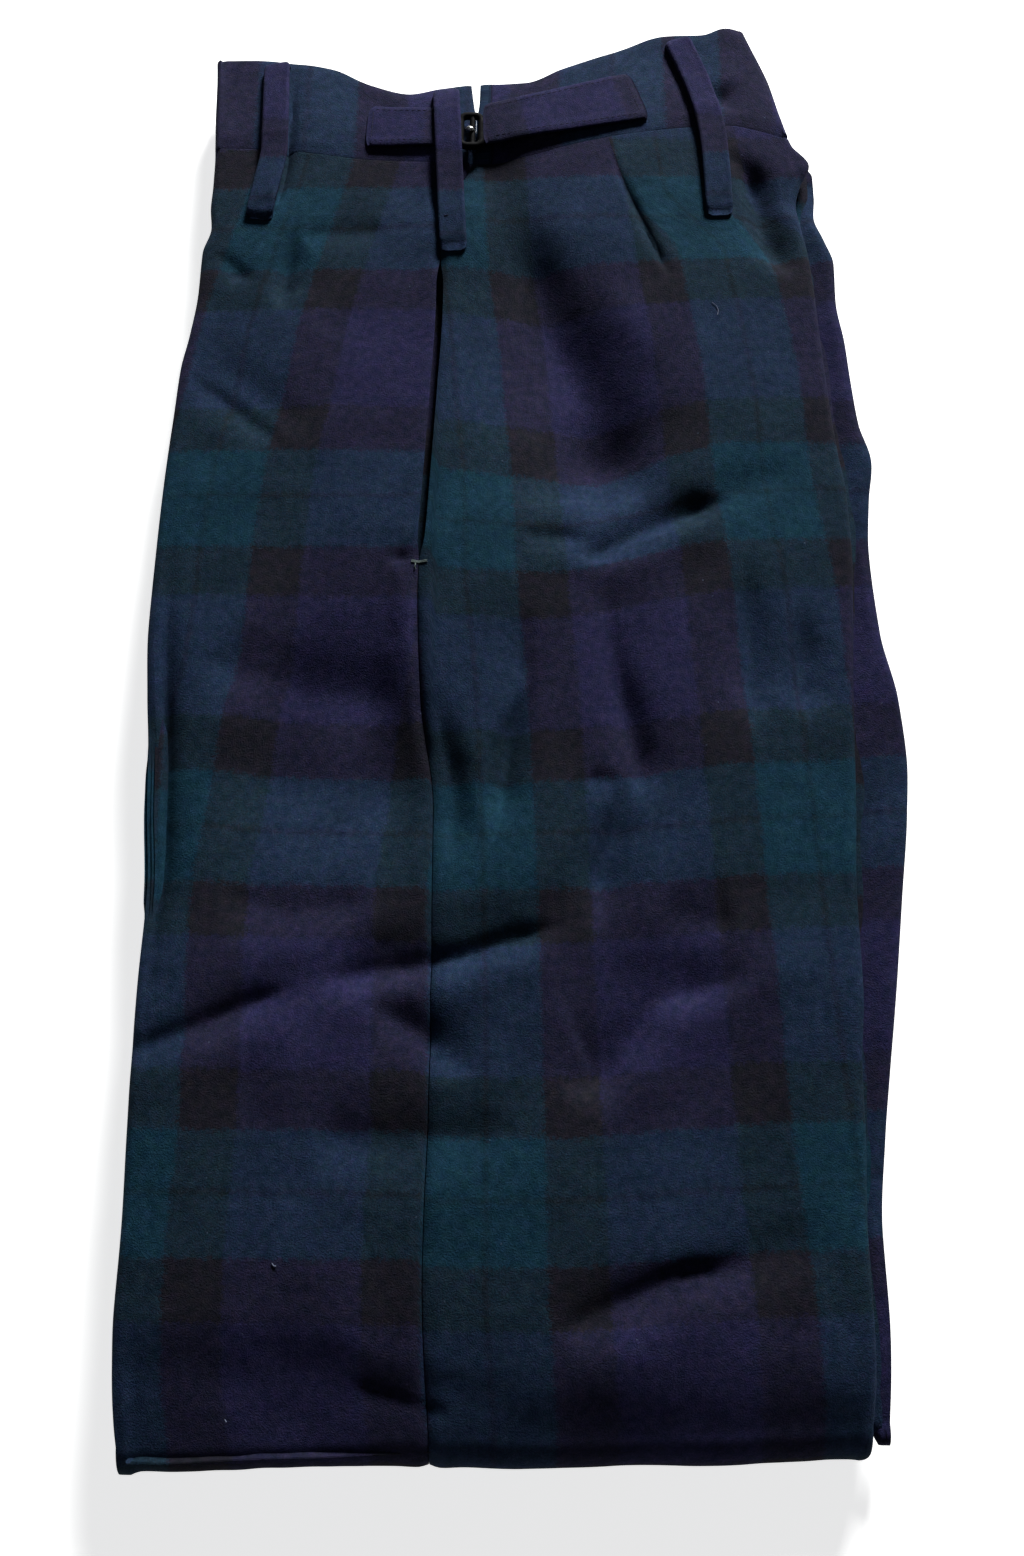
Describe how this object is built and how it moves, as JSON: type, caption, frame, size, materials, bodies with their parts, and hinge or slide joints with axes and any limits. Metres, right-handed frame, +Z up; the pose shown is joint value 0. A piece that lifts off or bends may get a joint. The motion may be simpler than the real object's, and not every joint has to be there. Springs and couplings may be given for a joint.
{
  "type": "tartan trews",
  "caption": "Heavy wool tartan trews, pressed with the legs stacked and folded flat across the knee, with belt loops and a buckled side waist adjuster.",
  "frame": {"origin": "bottom centre of the folded trews' box, on the surface that they lie on", "axes": "+Z up from the surface, +Y from the fold at the knee to the waist, +X from the front crease to the back crease"},
  "size_m": [0.2714, 0.5528, 0.0322],
  "materials": {
    "tartan_wool": "heavy milled wool twill in a green, navy and black tartan, soft nap",
    "sewing_thread": "dark polyester sewing thread",
    "buckle_metal": "black japanned steel wire with a worn bright pin"
  },
  "bodies": {
    "root": {"adjuster_buckle": "buckle_metal", "adjuster_strap_back": "tartan_wool", "adjuster_tab_front": "tartan_wool", "belt_loop_back": "tartan_wool", "belt_loop_front": "tartan_wool", "belt_loop_side": "tartan_wool", "folded_layers": "tartan_wool", "left_leg_back_panel": "tartan_wool", "left_leg_front_panel": "tartan_wool", "right_leg_back_panel": "tartan_wool", "waistband_back_left": "tartan_wool", "waistband_back_right": "tartan_wool", "waistband_front_left": "tartan_wool", "waistband_front_right": "tartan_wool"}
  },
  "joints": []
}
